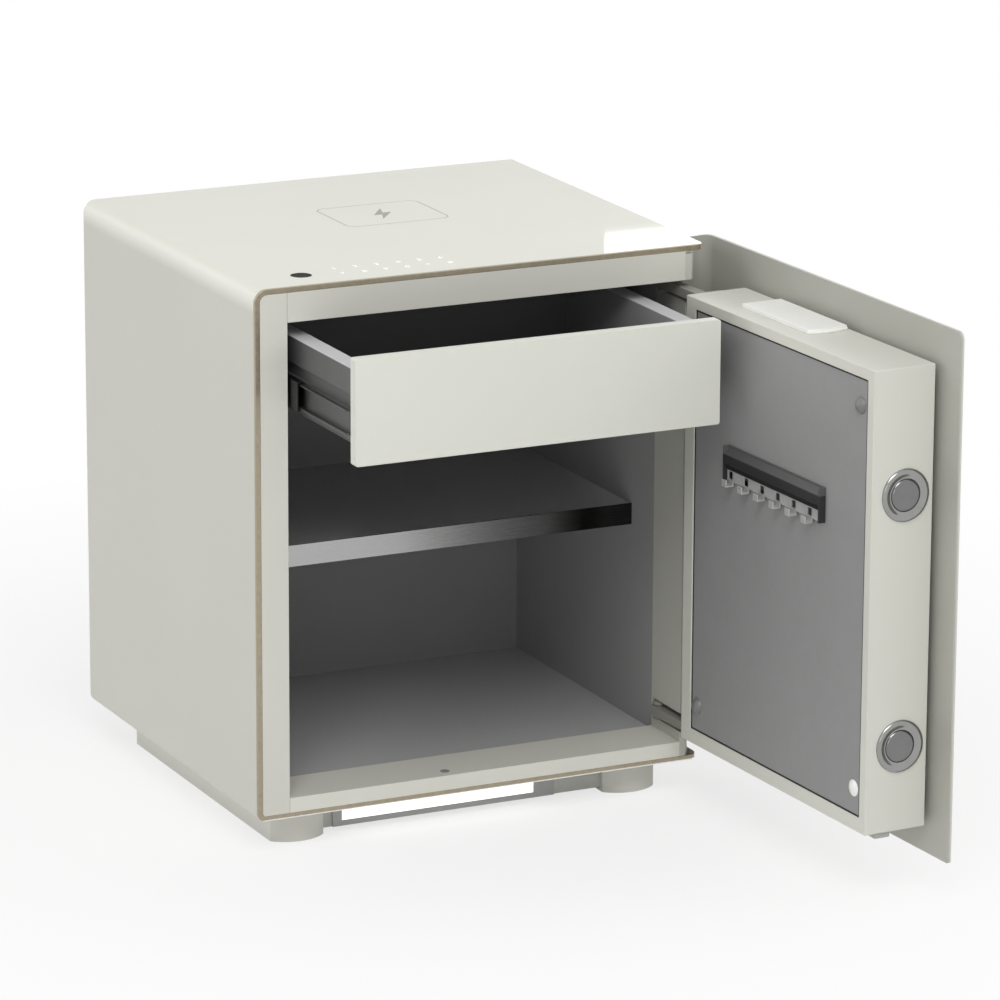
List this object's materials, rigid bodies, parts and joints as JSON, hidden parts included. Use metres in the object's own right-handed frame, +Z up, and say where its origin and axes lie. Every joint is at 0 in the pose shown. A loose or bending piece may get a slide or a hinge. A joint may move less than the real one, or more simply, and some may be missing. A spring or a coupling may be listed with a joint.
{
  "type": "smart safe",
  "caption": "Cream smart safe on skids, its door open on inner hinges with lock bolts, a pulled-out inner drawer over a shelf, touch keys on top.",
  "frame": {"origin": "on the floor under the middle of the body, at the centre of the four floor anchor holes", "axes": "+X to the viewer's right, the hinge side; +Y to the rear, -Y is the front; +Z up"},
  "size_m": [0.4541, 0.706, 0.4752],
  "materials": {
    "cream_paint": "satin",
    "frame_paint": "satin",
    "gloss_top": "glossy",
    "bronze_trim": "satin",
    "dark_lining": "matte",
    "grey_mat": "matte",
    "inner_steel": "matte",
    "shelf_paint": "satin",
    "bright_lip": "brushed",
    "zinc_steel": "satin",
    "skid_grey": "matte",
    "bar_grey": "satin",
    "light_grey": "matte",
    "sensor_black": "glossy",
    "mark_white": "matte",
    "mark_grey": "matte",
    "black_plastic": "matte",
    "door_paint": "satin",
    "casing_cream": "satin",
    "plate_grey": "matte",
    "gasket_rubber": "matte",
    "bezel_steel": "brushed",
    "bolt_steel": "polished",
    "rail_dark": "satin",
    "hook_bright": "polished",
    "cap_grey": "glossy",
    "cover_white": "glossy",
    "brass": "satin",
    "drawer_paint": "satin",
    "drawer_grey": "satin",
    "drawer_inner": "satin",
    "lit_diffuser": "matte"
  },
  "bodies": {
    "carcass": {"outer_shell": "cream_paint", "top_panel": "gloss_top", "back_panel": "cream_paint", "front_trim": "bronze_trim", "left_jamb": "frame_paint", "right_jamb": "frame_paint", "lintel": "frame_paint", "sill": "frame_paint", "inner_box": "inner_steel", "interior_lining": "dark_lining", "floor_mat": "grey_mat", "shelf_plate": "shelf_paint", "shelf_lip": "bright_lip", "shelf_brackets": "shelf_paint", "left_skid": "skid_grey", "right_skid": "skid_grey", "plinth_crossbar": "bar_grey", "light_housing": "light_grey", "light_diffuser": "lit_diffuser", "hinge_plates": "zinc_steel", "hinge_pins": "zinc_steel", "hinge_washers": "brass", "slide_fixed_left": "zinc_steel", "slide_fixed_right": "zinc_steel", "slide_channel": "shelf_paint", "fingerprint_sensor": "sensor_black", "touch_keys": "mark_white", "charging_mark": "mark_grey", "sill_sensor": "black_plastic", "power_inlet": "black_plastic"},
    "door": {"door_panel": "door_paint", "door_spacer": "black_plastic", "door_casing": "casing_cream", "door_back_plate": "plate_grey", "door_gasket": "gasket_rubber", "bolt_bezels": "bezel_steel", "hook_rail": "rail_dark", "hook_strip": "hook_bright", "key_hooks": "hook_bright", "panel_caps": "cap_grey", "white_cap": "cover_white", "battery_cover": "cover_white", "door_glide": "black_plastic", "hinge_arm_top": "zinc_steel", "hinge_arm_bottom": "zinc_steel", "hinge_screws": "zinc_steel", "lock_motor": "black_plastic"},
    "bolts": {"lock_bolts": "bolt_steel", "bolt_yoke": "zinc_steel"},
    "drawer": {"drawer_front": "drawer_paint", "drawer_side_left": "drawer_grey", "drawer_side_right": "drawer_grey", "drawer_floor": "drawer_inner", "drawer_back": "drawer_grey", "drawer_mat": "dark_lining", "slide_drawer_left": "zinc_steel", "slide_drawer_right": "zinc_steel"},
    "mid_left": {"slide_mid_left": "zinc_steel"},
    "mid_right": {"slide_mid_right": "zinc_steel"}
  },
  "joints": [
    {"name": "door_swing", "type": "hinge", "parent": "carcass", "child": "door", "pos_m": [0.1881, -0.1417, 0.24], "axis": [0, 0, 1], "range_deg": [-6, 14]},
    {"name": "bolt_throw", "type": "slide", "parent": "door", "child": "bolts", "axis": [0.0471, -0.9989, 0], "range_m": [0, 0.02]},
    {"name": "drawer_slide", "type": "slide", "parent": "carcass", "child": "drawer", "axis": [0, -1, 0], "range_m": [-0.1792, 0]},
    {"name": "mid_left_slide", "type": "slide", "parent": "carcass", "child": "mid_left", "axis": [0, -1, 0], "range_m": [-0.0896, 0]},
    {"name": "mid_right_slide", "type": "slide", "parent": "carcass", "child": "mid_right", "axis": [0, -1, 0], "range_m": [-0.0896, 0]}
  ],
  "couplings": [
    {"joint": "mid_left_slide", "follows": "drawer_slide", "ratio": 0.5},
    {"joint": "mid_right_slide", "follows": "drawer_slide", "ratio": 0.5}
  ]
}
